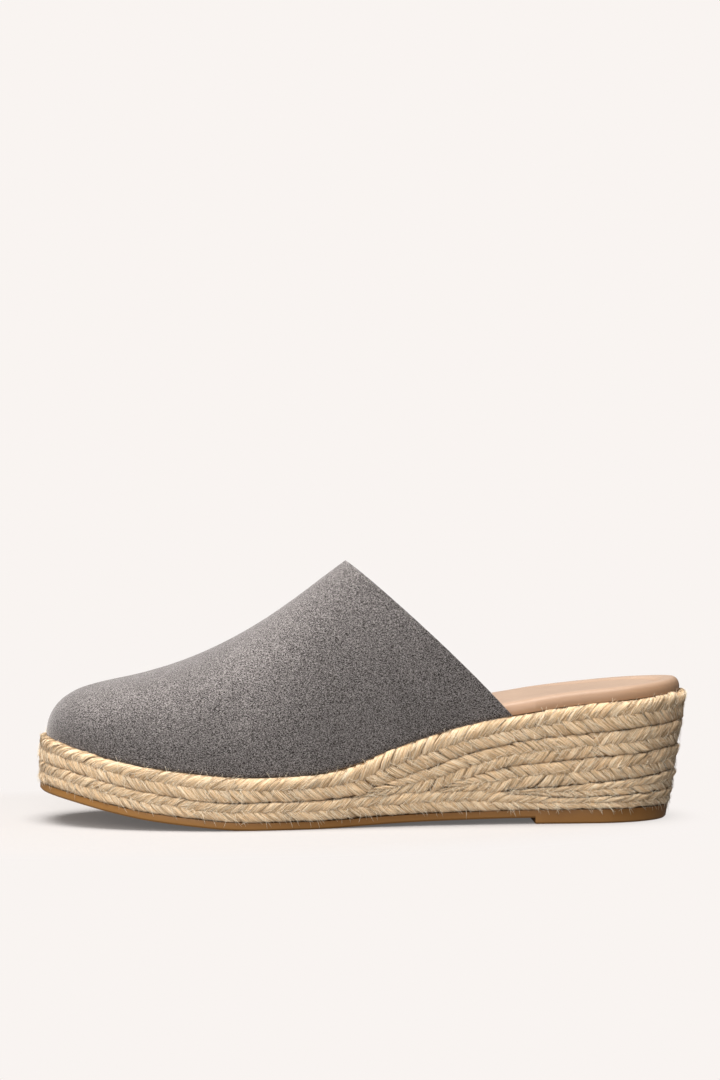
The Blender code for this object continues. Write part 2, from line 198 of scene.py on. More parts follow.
class Tree:
    """Adds nodes to a tree: inputs are given by socket name or number, as a value or a socket."""

    def __init__(self, tree):
        self.tree = tree

    def add(self, kind, inputs=None, **values):
        node = self.tree.nodes.new(kind)
        for name, value in values.items():
            setattr(node, name, value)
        for name, value in (inputs or {}).items():
            socket = node.inputs[name]
            if isinstance(value, bpy.types.NodeSocket):
                self.tree.links.new(value, socket)
            else:
                socket.default_value = value
        return node

    def math(self, operation, *values):
        """One sum on numbers or sockets."""
        return self.add("ShaderNodeMath", dict(enumerate(values)), operation=operation).outputs[0]

    def ramp(self, value, *stops):
        """Grey that runs through (place, height) stops."""
        node = self.add("ShaderNodeValToRGB", {0: value})
        elements = node.color_ramp.elements
        while len(elements) < len(stops):
            elements.new(0.5)
        for element, (place, height) in zip(elements, stops):
            element.position = place
            element.color = (height, height, height, 1.0)
        return node.outputs[0]

    def mix(self, factor, first, second, blend="MIX"):
        """Mixes colours given as sockets or as three numbers."""
        first, second = (
            value if isinstance(value, bpy.types.NodeSocket) else (*value[:3], 1.0)
            for value in (first, second)
        )
        inputs = {0: factor, 6: first, 7: second}
        return self.add("ShaderNodeMix", inputs, data_type="RGBA", blend_type=blend).outputs[2]

    def shaded(self, base, tone):
        """The colour times a grey tone."""
        return self.mix(1.0, base, tone, "MULTIPLY")

    def place(self):
        """Place in the piece's own coordinates."""
        return self.add("ShaderNodeTexCoord").outputs["Object"]

    def kept(self, name):
        """A number that the piece's mesh keeps under this name."""
        return self.add("ShaderNodeAttribute", attribute_name=name).outputs["Fac"]

    def span(self, value, start, end, low, high, **values):
        """Runs from low to high while the value runs from start to end."""
        inputs = {"Value": value, "From Min": start, "From Max": end, "To Min": low, "To Max": high}
        return self.add("ShaderNodeMapRange", inputs, **values).outputs[0]

    def noise(self, vector, scale, detail, **more):
        inputs = {"Vector": vector, "Scale": scale, "Detail": detail, **more}
        return self.add("ShaderNodeTexNoise", inputs).outputs[0]

    def bump(self, height, strength, distance):
        inputs = {"Height": height, "Strength": strength, "Distance": distance}
        return self.add("ShaderNodeBump", inputs).outputs[0]


def new_material(name, **values):
    """A Principled material and its tree. values are the shader's own constant sockets."""
    material = bpy.data.materials.new(name)
    material.use_nodes = True
    shader = material.node_tree.nodes["Principled BSDF"]
    for socket, value in values.items():
        shader.inputs[socket.replace("_", " ")].default_value = value
    return material, Tree(material.node_tree), shader


def connect(tree, shader, base, bump):
    """Gives the shader its colour and its fine relief."""
    tree.tree.links.new(base, shader.inputs["Base Color"])
    tree.tree.links.new(bump, shader.inputs["Normal"])


# Meshes from the frame

MERGE = 1e-6  # corners of a CAD node closer than this are one
QUAD_BEND, QUAD_SKEW = 25, 60  # degrees up to which two facets join into a quad


def node_mesh(name, quads=True):
    """A copy of a CAD node with its corners merged, and its facets joined into quads."""
    mesh = bmesh.new()
    mesh.from_mesh(frame["nodes"][name].data)
    bmesh.ops.remove_doubles(mesh, verts=mesh.verts, dist=MERGE)
    if quads:
        bmesh.ops.join_triangles(
            mesh, faces=mesh.faces,
            angle_face_threshold=math.radians(QUAD_BEND),
            angle_shape_threshold=math.radians(QUAD_SKEW),
        )
    mesh.normal_update()
    return mesh


def make_object(name, mesh, *materials):
    """A finished object from a bmesh or a mesh, smooth shaded."""
    if isinstance(mesh, bmesh.types.BMesh):
        data = bpy.data.meshes.new(name)
        mesh.to_mesh(data)
        mesh.free()
    else:
        data = mesh
        data.name = name
    made = bpy.data.objects.new(name, data)
    bpy.context.scene.collection.objects.link(made)
    if data.materials:  # clearing an empty list would reset each face's material number
        data.materials.clear()
    for material in materials:
        data.materials.append(material)
    data.shade_smooth()
    return made


def apply_modifiers(made):
    """Replaces the object's mesh with what its modifiers make of it."""
    evaluated = made.evaluated_get(bpy.context.evaluated_depsgraph_get())
    data = bpy.data.meshes.new_from_object(evaluated)
    made.modifiers.clear()
    old, made.data = made.data, data
    data.name = made.name
    bpy.data.meshes.remove(old)


def crease_corners(mesh, angle, amount):
    """Keeps corners sharper than this angle when the mesh is subdivided."""
    layer = mesh.edges.layers.float.new("crease_edge")
    for edge in mesh.edges:
        if edge.calc_face_angle(0.0) > math.radians(angle):
            edge[layer] = amount
    return mesh


def subdivide(made, levels):
    """Rounds the object's mesh and keeps the result."""
    modifier = made.modifiers.new("smooth", "SUBSURF")
    modifier.levels = modifier.render_levels = levels
    apply_modifiers(made)


def store(mesh, name, values):
    """Keeps one number per vertex for the materials."""
    layer = mesh.attributes.new(name, "FLOAT", "POINT")
    layer.data.foreach_set("value", np.array(values, np.float32))


def hand_over(made, node):
    """Puts a finished piece in the place of its CAD node."""
    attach(made, "root")
    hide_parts(node)


# Jute rows


class RowShape:
    """Top and bottom of a layer of the sole as functions of x, and its outline.

    All are read from its CAD node. A full length row is closed and runs round toe and heel, and a
    shorter one is open at its thin front end.
    """

    CLOSED_SHARE = 0.8  # a row longer than this share of the shoe is closed
    READINGS = 90  # places along it where top and bottom are read
    TOE_INSET, THIN_INSET = 0.004, 0.0003  # how far inside the front end they start
    HEEL_INSET = 0.006  # how far inside the heel end they stop
    SLOPE_STEPS = 3  # readings over which the slope past an end is taken
    BELOW = 0.3  # how far off the rays that read them start
    FLAT = 0.01  # height that the row is flattened to before it is cut
    REACH = 0.0008  # how far to each side of a place its direction is read
    FACE_SHARE = 0.36  # share of the height above and below the middle where the face is read
    FACE_START, FACE_RAY = 0.012, 0.03  # how far outside that ray starts, and how long it is
    SIDE_FACING = 0.2  # least sideways part of the normal on the row's sides

    def __init__(self, name):
        self.mesh = node_mesh(name, quads=False)
        self.tree = BVHTree.FromBMesh(self.mesh)
        low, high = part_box(name)
        self.closed = high.x - low.x > self.CLOSED_SHARE * (CAD_BOX[1][0] - CAD_BOX[0][0])
        front = low.x + (self.TOE_INSET if self.closed else self.THIN_INSET)
        self.xs = np.linspace(front, high.x - self.HEEL_INSET, self.READINGS)
        self.tops = np.array([self.read(x, -1) for x in self.xs])
        self.bottoms = np.array([self.read(x, 1) for x in self.xs])

    def read(self, x, up):
        """Height of the first face that a ray upwards or downwards meets at x."""
        start = Vector((x, 0.0, -up * self.BELOW))
        return self.tree.ray_cast(start, Vector((0, 0, up)))[0].z

    def heights(self, x):
        """Bottom and top at x, carried on in a straight line past the ends."""
        if x < self.xs[0]:
            end, inner = 0, self.SLOPE_STEPS
        elif x > self.xs[-1]:
            end, inner = -1, -1 - self.SLOPE_STEPS
        else:
            return [float(np.interp(x, self.xs, values)) for values in (self.bottoms, self.tops)]
        result = []
        for values in (self.bottoms, self.tops):
            slope = (values[end] - values[inner]) / (self.xs[end] - self.xs[inner])
            result.append(float(values[end] + slope * (x - self.xs[end])))
        return result

    def outline(self):
        """Points of the row's outline halfway up, from the heel along the outer side."""
        flat = self.mesh.copy()
        for vert in flat.verts:
            bottom, top = self.heights(vert.co.x)
            vert.co.z = (vert.co.z - bottom) / (top - bottom) * self.FLAT
        cut = bmesh.ops.bisect_plane(
            flat, geom=flat.verts[:] + flat.edges[:] + flat.faces[:],
            plane_co=(0, 0, self.FLAT / 2), plane_no=(0, 0, 1), clear_inner=True,
        )["geom_cut"]
        near = {v: [] for v in cut if isinstance(v, bmesh.types.BMVert)}
        for edge in cut:
            if isinstance(edge, bmesh.types.BMEdge):
                a, b = edge.verts
                near[a].append(b)
                near[b].append(a)
        here = max(near, key=lambda v: v.co.x)
        before, here = here, min(near[here], key=lambda v: v.co.y)
        loop = [before]
        while here is not loop[0]:
            loop.append(here)
            ahead = [v for v in near[here] if v is not before]
            before, here = here, ahead[0]
        points = [Vector((v.co.x, v.co.y)) for v in loop]
        flat.free()
        if self.closed:
            return points + points[:1]
        # The longest step is the open front end, which the strands leave out
        gaps = [(points[i - 1] - points[i]).length for i in range(len(points))]
        start = int(np.argmax(gaps))
        return points[start:] + points[:start]

    def places(self, spacing):
        """Point, matrix (back, inward, up) and height at each place, and the length around."""
        points = self.outline()
        steps = [(b - a).length for a, b in zip(points, points[1:])]
        lengths = np.concatenate(([0.0], np.cumsum(steps)))
        count = max(int(lengths[-1] / spacing), 4)
        marks = np.linspace(0, lengths[-1], count, endpoint=not self.closed)
        found = []
        for mark in marks:
            spots = []
            for offset in (-self.REACH, 0.0, self.REACH):
                at = mark + offset
                if self.closed:
                    at %= lengths[-1]
                xy = [float(np.interp(at, lengths, [p[k] for p in points])) for k in (0, 1)]
                bottom, top = self.heights(xy[0])
                spots.append((Vector((*xy, (bottom + top) / 2)), top - bottom))
            forward = (spots[2][0] - spots[0][0]).normalized()
            outward = Vector((-forward.y, forward.x, 0.0)).normalized()
            middle, height = spots[1]
            rise = height * self.FACE_SHARE
            low, high = (self.face(middle, outward, part) for part in (-rise, rise))
            up = (high - low).normalized()
            back = -forward
            inward = up.cross(back).normalized()
            up = back.cross(inward).normalized()
            turn = Matrix((back, inward, up)).transposed()
            found.append(((low + high) / 2, turn, height * up.z))
        return found, float(lengths[-1])

    def face(self, middle, outward, rise):
        """Point of the row's face at this rise above its middle."""
        start = middle + outward * self.FACE_START + Vector((0, 0, rise))
        hit = self.tree.ray_cast(start, -outward, self.FACE_RAY)[0]
        return hit if hit is not None else middle + Vector((0, 0, rise))

    def core(self, sink):
        """The row's slab with its sides drawn in, which closes the gaps between strands.
        With no UVs it takes the jute's darkest straw, as painted shade seen through those gaps.
        """
        mesh = self.mesh.copy()
        moves = []
        for vert in mesh.verts:
            side = Vector((vert.normal.x, vert.normal.y, 0.0))
            if side.length > self.SIDE_FACING:
                moves.append((vert, side.normalized() * sink))
        for vert, move in moves:
            vert.co -= move
        data = bpy.data.meshes.new("core")
        mesh.to_mesh(data)
        mesh.free()
        return bpy.data.objects.new("core", data)


STRAND_HEIGHT = 0.010  # height of the row that the strands are drawn for

# A strand of the plait, in millimetres, from under the middle line to the row's edge: back is
# along the row, rise up it and out off its face. lean turns the strand's face up, in degrees,
# and width is a share of the strand's own.
RouteRow = namedtuple("RouteRow", "back rise out lean width", defaults=(1.0,))
STRAND_START = (
    RouteRow(-1.2, -1.5, -1.25, -34, 0.60),
    RouteRow(-0.4, -0.5, -0.48, -18, 0.74),
    RouteRow(0.6, 0.8, -0.04, -5, 0.92),
)
STRAND = STRAND_START + (
    RouteRow(2.0, 2.4, 0.06, 6),
    RouteRow(3.4, 3.8, -0.10, 24),
    RouteRow(4.4, 4.6, -0.58, 52),
    RouteRow(4.9, 4.9, -1.40, 80),
)
# The same on the upper side of the top row, where the strands turn in over the rim.
RIM_STRAND = STRAND_START + (
    RouteRow(1.9, 2.3, 0.05, 8),
    RouteRow(3.4, 3.5, -0.22, 34),
    RouteRow(4.6, 4.2, -0.95, 60),
    RouteRow(5.4, 4.5, -2.00, 78),
    RouteRow(5.9, 4.5, -3.10, 92),
)

# Sizes in millimetres, and u for a place across a strand, from -1 to 1.
STRAND_SHAPES = 3  # how often a strand is drawn for each lane
STRAND_HALF_WIDTH = 2.5  # along the row
STRAND_HALF_DEPTH = 0.42
STRAND_SQUARENESS = 4.0  # 2 is an ellipse, more is flatter
STRAND_ROLL = 4.0  # degrees that a strand is turned about itself, so that it laps its neighbour
STRAND_POINTS = 7  # across its face
STRAND_RUFFLE = 0.06  # how uneven its face is
UNDERSIDE = (0.6, -0.6)  # u of the corners below it
UNDERSIDE_DEPTH = 1.7  # how deep they lie, in half depths
FIBRE_SHAPES = 15  # how often a fibre is drawn for each lane, spread over a strand's width
FIBRE_SPAN = 0.94  # u that they are spread over to each side
FIBRE_LIMIT = 0.97  # u that none of them goes past
FIBRE_DRIFT = 0.6  # how much u changes along a fibre, at most
FIBRE_RISE = (-0.03, 0.10)  # height above the strand's face
FIBRE_RADII = (0.08, 0.14)
FIBRE_TIP = 0.55  # share of the radius at its ends
FIBRE_SIDES = 3
FIBRE_U = 2.0  # added to a fibre's UV across, so that the material can tell it from a strand
STRAY_SHAPES = 4  # how often a stray fibre is drawn
STRAY_STEPS = 3
STRAY_THICKNESS = 0.027  # the next ones are shares of a stray fibre's length
STRAY_BEND = (0.04, 0.16)
STRAY_SWAY = 0.20
STRAY_ARCH = 0.8  # how much of half a wave its bend is
STRAY_TAPER = 0.6  # how much thinner its tip is
STRAY_UV = (0.5, 2.0)  # tells the material that this is a stray fibre


def route_frames(route, side):
    """Centre, across, face and width at each row of a route. side is 1 for the upper lane.

    across runs along the row, so that the strands' ends line up at its edge.
    """
    frames = []
    mirror = Vector((1, 1, side))
    for i, row in enumerate(route):
        before, after = route[max(i - 1, 0)], route[min(i + 1, len(route) - 1)]
        ahead = Vector((after.back - before.back, before.out - after.out, after.rise - before.rise))
        roll = Matrix.Rotation(math.radians(STRAND_ROLL), 3, ahead.normalized())
        tilt = math.radians(row.lean)
        face = Vector((0, -math.cos(tilt), math.sin(tilt)))
        centre = Vector((row.back, -row.out, row.rise))
        across = roll @ Vector((1, 0, 0))
        frames.append((centre * mirror, across * mirror, face * mirror, row.width))
    return frames


def section(frame, u, extra=0.0):
    """Point on a strand's face, u from -1 to 1 across it."""
    centre, across, face, width = frame
    depth = STRAND_HALF_DEPTH * (1 - abs(u) ** STRAND_SQUARENESS) ** (1 / STRAND_SQUARENESS)
    return centre + across * (u * width * STRAND_HALF_WIDTH) + face * ((depth + extra) * width)


def skin(name, rings):
    """A closed piece through rings of (point in millimetres, UV)."""
    mesh = bmesh.new()
    layer = mesh.loops.layers.uv.new("UVMap")
    made = [[mesh.verts.new(spot * MM) for spot, _ in ring] for ring in rings]
    marks = {vert: mark for row, ring in zip(made, rings) for vert, (_, mark) in zip(row, ring)}
    for near, far in zip(made, made[1:]):
        for k in range(len(near)):
            j = (k + 1) % len(near)
            mesh.faces.new((near[k], near[j], far[j], far[k]))
    mesh.faces.new(made[0][::-1])
    mesh.faces.new(made[-1])
    bmesh.ops.recalc_face_normals(mesh, faces=mesh.faces)
    for face in mesh.faces:
        face.smooth = True
        for loop in face.loops:
            loop[layer].uv = marks[loop.vert]
    data = bpy.data.meshes.new(name)
    mesh.to_mesh(data)
    mesh.free()
    return bpy.data.objects.new(name, data)


def strand(name, route, side, chance):
    """The body of a strand, which its fibres lie on."""
    frames = route_frames(route, side)
    rings = []
    for i, frame in enumerate(frames):
        along = i / (len(frames) - 1)
        ring = []
        for k in range(STRAND_POINTS):
            u = -1 + 2 * k / (STRAND_POINTS - 1)
            ruffle = chance.uniform(-STRAND_RUFFLE, STRAND_RUFFLE)
            ring.append((section(frame, u, ruffle), ((u + 1) / 2, along)))
        for u in UNDERSIDE:
            under = section(frame, u) - frame[2] * (STRAND_HALF_DEPTH * UNDERSIDE_DEPTH * frame[3])
            ring.append((under, ((u + 1) / 2, along)))
        rings.append(ring)
    return skin(name, rings)


def strand_fibre(name, route, side, place, chance):
    """A fibre that follows a strand at this place across it, -1 to 1."""
    frames = route_frames(route, side)[1:]
    drift = chance.uniform(-FIBRE_DRIFT, FIBRE_DRIFT)
    rise = chance.uniform(*FIBRE_RISE)
    thick = chance.uniform(*FIBRE_RADII)
    rings = []
    for i, frame in enumerate(frames):
        along = (i + 1) / len(frames)
        u = max(-FIBRE_LIMIT, min(FIBRE_LIMIT, place + drift * (along - 0.5)))
        centre = section(frame, u, rise)
        radius = thick * (1.0 if 0 < i < len(frames) - 1 else FIBRE_TIP)
        ring = []
        for k in range(FIBRE_SIDES):
            angle = math.tau * (k + 0.25) / FIBRE_SIDES
            spot = centre + (frame[1] * math.cos(angle) + frame[2] * math.sin(angle)) * radius
            ring.append((spot, (FIBRE_U + (u + 1) / 2, along)))
        rings.append(ring)
    return skin(name, rings)


def stray_fibre(name, chance):
    """A thin bent fibre, one metre long here and scaled where it is used."""
    bend = chance.uniform(*STRAY_BEND)
    sway = chance.uniform(-STRAY_SWAY, STRAY_SWAY)
    rings = []
    for i in range(STRAY_STEPS + 1):
        t = i / STRAY_STEPS
        centre = Vector((t, -bend * math.sin(math.pi * t * STRAY_ARCH), sway * t * t))
        thick = STRAY_THICKNESS * (1 - STRAY_TAPER * t)
        ring = []
        for k in range(FIBRE_SIDES):
            angle = math.tau * k / FIBRE_SIDES
            off = Vector((0, math.cos(angle), math.sin(angle))) * thick
            ring.append(((centre + off) / MM, STRAY_UV))
        rings.append(ring)
    return skin(name, rings)


LANES = ("lower", "upper", "rim")
LANE_SHAPES = STRAND_SHAPES + FIBRE_SHAPES
STRAY_START = len(LANES) * LANE_SHAPES  # number of the first stray fibre in the set
SET_SEED = 7


def pick_strand(lane, chance):
    """Number of one of the lane's strands in the set."""
    return LANES.index(lane) * LANE_SHAPES + chance.randrange(STRAND_SHAPES)


def pick_fibres(lane, count, chance):
    """Numbers of different fibres of the lane in the set."""
    start = LANES.index(lane) * LANE_SHAPES + STRAND_SHAPES
    return [start + number for number in chance.sample(range(FIBRE_SHAPES), count)]


def strand_set():
    """The drawn shapes, in the order that the picks count: each lane's strands and fibres."""
    made = bpy.data.collections.new("strands")
    chance = random.Random(SET_SEED)
    shapes = []
    for lane, route in zip(LANES, (STRAND, STRAND, RIM_STRAND)):
        side = -1 if lane == "lower" else 1
        shapes += [partial(strand, route=route, side=side, chance=chance)] * STRAND_SHAPES
        for number in range(FIBRE_SHAPES):
            place = -FIBRE_SPAN + 2 * FIBRE_SPAN * number / (FIBRE_SHAPES - 1)
            given = {"route": route, "side": side, "place": place, "chance": chance}
            shapes.append(partial(strand_fibre, **given))
    shapes += [partial(stray_fibre, chance=chance)] * STRAY_SHAPES
    for number, shape in enumerate(shapes):
        made.objects.link(shape(f"strand_{number:03d}"))
    return made


def plait_tree():
    """Geometry nodes that put a strand on each point and add the core."""
    tree = bpy.data.node_groups.new("plait", "GeometryNodeTree")
    sockets = {}
    for name, kind in (
        ("Points", "Geometry"), ("Strands", "Collection"), ("Core", "Object"),
        ("Wander", "Float"), ("Seed", "Int"), ("Finish", "Material"),
    ):
        made = tree.interface.new_socket(name, in_out="INPUT", socket_type=f"NodeSocket{kind}")
        sockets[name] = made.identifier
    tree.interface.new_socket("Plait", in_out="OUTPUT", socket_type="NodeSocketGeometry")
    nodes = Tree(tree)
    given = nodes.add("NodeGroupInput").outputs

    def stored(name, kind):
        node = nodes.add("GeometryNodeInputNamedAttribute", {"Name": name}, data_type=kind)
        return node.outputs[0]

    drawn = nodes.add(
        "GeometryNodeCollectionInfo",
        {"Collection": given["Strands"], "Separate Children": True, "Reset Children": True},
    )
    turn = nodes.add("FunctionNodeEulerToRotation", {0: stored("turn", "FLOAT_VECTOR")})
    placed = nodes.add("GeometryNodeInstanceOnPoints", {
        "Points": given["Points"], "Instance": drawn.outputs[0], "Pick Instance": True,
        "Instance Index": stored("pick", "INT"), "Rotation": turn.outputs[0],
        "Scale": stored("size", "FLOAT_VECTOR"),
    })
    wander = nodes.add("FunctionNodeRandomValue", {
        0: nodes.math("MULTIPLY", given["Wander"], -1.0), 1: given["Wander"], "Seed": given["Seed"],
    }, data_type="FLOAT_VECTOR")
    loose = nodes.add("GeometryNodeRotateInstances", {
        "Instances": placed.outputs[0], "Rotation": wander.outputs[0],
    })
    tint = nodes.add("FunctionNodeRandomValue", {"Seed": given["Seed"]}, data_type="FLOAT")
    marked = nodes.add("GeometryNodeStoreNamedAttribute", {
        "Geometry": loose.outputs[0], "Name": "tint", "Value": tint.outputs[1],
    }, data_type="FLOAT", domain="INSTANCE")
    real = nodes.add("GeometryNodeRealizeInstances", {0: marked.outputs[0]})
    core = nodes.add("GeometryNodeObjectInfo", {"Object": given["Core"]})
    joined = nodes.add("GeometryNodeJoinGeometry")
    tree.links.new(core.outputs["Geometry"], joined.inputs[0])
    tree.links.new(real.outputs[0], joined.inputs[0])
    finished = nodes.add("GeometryNodeSetMaterial", {
        "Geometry": joined.outputs[0], "Material": given["Finish"],
    })
    end = nodes.add("NodeGroupOutput")
    tree.links.new(finished.outputs[0], end.inputs[0])
    return tree, sockets


# X up to which the chevrons of a row point to the heel on its outer side. All others point to
# the toe.
TURNED_ROWS = {"jute_row_wedge_1": 0.0915, "jute_row_wedge_2": 0.0820}
TURN_LAP = 0.005  # how far both ways of the chevrons run on over each other there
TURN_SINK = 0.45  # millimetres that the way that ends there goes under the other
HEEL_START, HEEL_FULL = 0.040, 0.115  # stretch over which the plait grows looser
HEEL_LOOSENESS = 1.6  # how much looser it is at its end
LANE_SHIFT = 0.25  # share of the pitch that each lane is moved along the row
LANE_JITTER = 0.08  # share of the pitch that a strand may be off that
THIN_DEPTH, DEPTH_GROWTH = 0.45, 0.6  # a strand's depth at no height, and its growth with height
SWAY = (0.30, 0.22, 0.45)  # share of the looseness about each of the strand's axes
STRAND_LENGTHS = (0.90, 1.14)
STRAND_HEIGHTS = (0.985, 1.01)
STRAND_SINK = (-0.20, 0.10)  # millimetres that a strand lies behind the row's face
FIBRE_NUDGE = 0.2  # millimetres that a fibre may be moved up or down on its strand
STRAY_OUT = 0.50  # millimetres that stray fibres start off the row's face, in its middle
STRAY_DROP = 1.4  # millimetres that they lie deeper at its edges
STRAY_RISE = (-0.36, 0.42)  # stretch of the row's height that they start in
STRAY_SHIFT = 2.5  # millimetres along the row that they start from a place, at most
STRAY_LEAN = (0.85, 0.35)  # mean and spread of their turn up or down from the row, in radians
STRAY_LEAN_WAYS = (1, 1, 1, -1)  # most lean away from the middle line
STRAY_LIFT = (-0.05, 0.22)  # their turn out of the row's face, in radians
STRAY_BACKWARD = 0.3  # share of them that point the other way
STRAY_LENGTHS = (1.8, 4.6)  # millimetres
STRAY_SLIMNESS = 0.8


def strand_rows(name, places, settings, chance):
    """Spot, turn, size and pick of each strand and of the fibres on it."""
    rows = []
    for point, turn, height in places:
        tall = height / STRAND_HEIGHT
        deep = min(1.0, THIN_DEPTH + DEPTH_GROWTH * tall)
        heel = min(max((point.x - HEEL_START) / (HEEL_FULL - HEEL_START), 0.0), 1.0)
        loose = settings.looseness * (1 + HEEL_LOOSENESS * heel)
        past = point.x - TURNED_ROWS.get(name, CAD_BOX[0][0]) if point.y < 0 else 1.0
        ways = [False] * (past > -TURN_LAP) + [True] * (past < TURN_LAP)
        for lane, turned in product(("lower", "upper"), ways):
            kind = "rim" if lane == "upper" and name == "jute_row_top" else lane
            way = turn
            if turned:
                kind = "lower" if lane == "upper" else "upper"
                way = turn @ Matrix.Rotation(math.pi, 3, "Y")
            shift = (LANE_SHIFT if lane == "upper" else -LANE_SHIFT) * settings.pitch
            shift += chance.uniform(-LANE_JITTER, LANE_JITTER) * settings.pitch
            sway = Euler([chance.uniform(-loose, loose) * part for part in SWAY]).to_matrix()
            long = chance.uniform(*STRAND_LENGTHS)
            size = Vector((long, deep, tall * chance.uniform(*STRAND_HEIGHTS)))
            ended = past > 0 if turned else past < 0
            sunk = chance.uniform(*STRAND_SINK) + TURN_SINK * ended
            spot = point + turn.col[0] * shift + turn.col[1] * sunk * MM
            rows.append((spot, way @ sway, size, pick_strand(kind, chance)))
            for pick in pick_fibres(kind, settings.fibres, chance):
                nudge = turn.col[2] * chance.uniform(-FIBRE_NUDGE, FIBRE_NUDGE) * MM
                rows.append((spot + nudge, way @ sway, size, pick))
    return rows


def stray_rows(places, count, chance):
    """The same for the stray fibres that stand off the row."""
    rows = []
    for _ in range(count):
        point, turn, height = chance.choice(places)
        rise = chance.uniform(*STRAY_RISE)
        lean = math.copysign(chance.gauss(*STRAY_LEAN), rise) * chance.choice(STRAY_LEAN_WAYS)
        way = turn @ Matrix.Rotation(-lean, 3, "Y")
        way = way @ Matrix.Rotation(-chance.uniform(*STRAY_LIFT), 3, "Z")
        if chance.random() < STRAY_BACKWARD:
            way = way @ Matrix.Rotation(math.pi, 3, "Y")
        shift = chance.uniform(-STRAY_SHIFT, STRAY_SHIFT)
        spot = point + turn.col[2] * rise * height + turn.col[0] * shift * MM
        spot -= turn.col[1] * (STRAY_OUT - STRAY_DROP * (2 * rise) ** 4) * MM
        long = chance.uniform(*STRAY_LENGTHS) * MM
        size = Vector((long, long * STRAY_SLIMNESS, long * STRAY_SLIMNESS))
        rows.append((spot, way, size, STRAY_START + chance.randrange(STRAY_SHAPES)))
    return rows


def strand_points(name, settings):
    """A point with turn, size and pick for everything that lies on a row, and the row's core."""
    shape = RowShape(name)
    chance = random.Random(name)
    places, around = shape.places(settings.pitch)
    rows = strand_rows(name, places, settings, chance)
    rows += stray_rows(places, int(around * settings.stray), chance)
    spots, turns, sizes, picks = zip(*rows)
    mesh = bpy.data.meshes.new("points")
    mesh.from_pydata(spots, [], [])
    for label, values in (("turn", [turn.to_euler() for turn in turns]), ("size", sizes)):
        flat = np.array([tuple(value) for value in values], np.float32).ravel()
        mesh.attributes.new(label, "FLOAT_VECTOR", "POINT").data.foreach_set("vector", flat)
    picked = mesh.attributes.new("pick", "INT", "POINT")
    picked.data.foreach_set("value", np.array(picks, np.int32))
    return bpy.data.objects.new("points", mesh), shape.core(settings.sink)


def jute_material(settings):
    """Streaks along each strand with painted highlight and shade between fibres, painted shade
    where it goes under and at its sides, and each fibre in its own tone.
    """
    material, tree, shader = new_material(
        "plaited_jute", Roughness=0.85, Specular_IOR_Level=0.2, Sheen_Weight=0.12,
        Sheen_Roughness=0.5,
    )
    uv = tree.add("ShaderNodeUVMap", uv_map="UVMap")
    uv = tree.add("ShaderNodeSeparateXYZ", {0: uv.outputs[0]})
    across, along = tree.math("FRACT", uv.outputs[0]), uv.outputs[1]
    on_fibre = tree.math("GREATER_THAN", uv.outputs[0], 1.5)
    on_stray = tree.math("GREATER_THAN", along, 1.5)
    tint = tree.kept("tint")
    drawn_out = tree.add("ShaderNodeCombineXYZ", {
        0: tree.math("MULTIPLY", across, 11.0),
        1: tree.math("MULTIPLY", along, 1.3),
        2: tree.math("MULTIPLY", tint, 60.0),
    }).outputs[0]
    streaks = tree.noise(drawn_out, 1.0, 4.0, Roughness=0.65)
    patches = tree.noise(tree.place(), 55.0, 2.0)
    # Streaks of the jute's own fibres, with a painted highlight in light straw on the fibres in front
    # and painted shade in dark straw between them.
    straw = tree.mix(tree.ramp(streaks, (0.48, 0.0), (0.66, 1.0)), settings.middle, settings.light)
    straw = tree.mix(tree.ramp(streaks, (0.34, 0.3), (0.46, 1.0)), settings.dark, straw)
    # Painted shade: dark straw towards a strand's ends, where it goes under the next ones, and at its
    # sides. The core has no UVs, so it takes the darkest of it and becomes a painted-shade slab.
    painted_shade_ends = tree.ramp(along, (0.0, 0.05), (0.24, 0.86), (0.5, 1.0), (0.84, 0.95), (1.0, 0.35))
    painted_shade_sides = tree.ramp(across, (0.0, 0.70), (0.10, 1.0), (0.90, 1.0), (1.0, 0.70))
    straw = tree.mix(tree.math("MULTIPLY", painted_shade_ends, painted_shade_sides), settings.dark, straw)
    both = tree.math("ADD", tree.math("MULTIPLY", tint, 0.6), tree.math("MULTIPLY", patches, 0.4))
    strand_tone = tree.ramp(both, (0.15, 0.82), (0.75, 1.0))
    fibre_tone = tree.ramp(tint, (0.0, 0.50), (0.40, 0.84), (0.80, 1.0))
    fibre_tone = tree.math("MAXIMUM", fibre_tone, tree.math("SUBTRACT", 1.0, on_fibre))
    tone = tree.math("MULTIPLY", strand_tone, fibre_tone)
    # Stray fibres are light straw all over: their own pale colour and a painted highlight together.
    base = tree.mix(on_stray, tree.shaded(straw, tone), settings.light)
    connect(tree, shader, base, tree.bump(streaks, 0.55, 0.0004))
    return material


# Suede upper


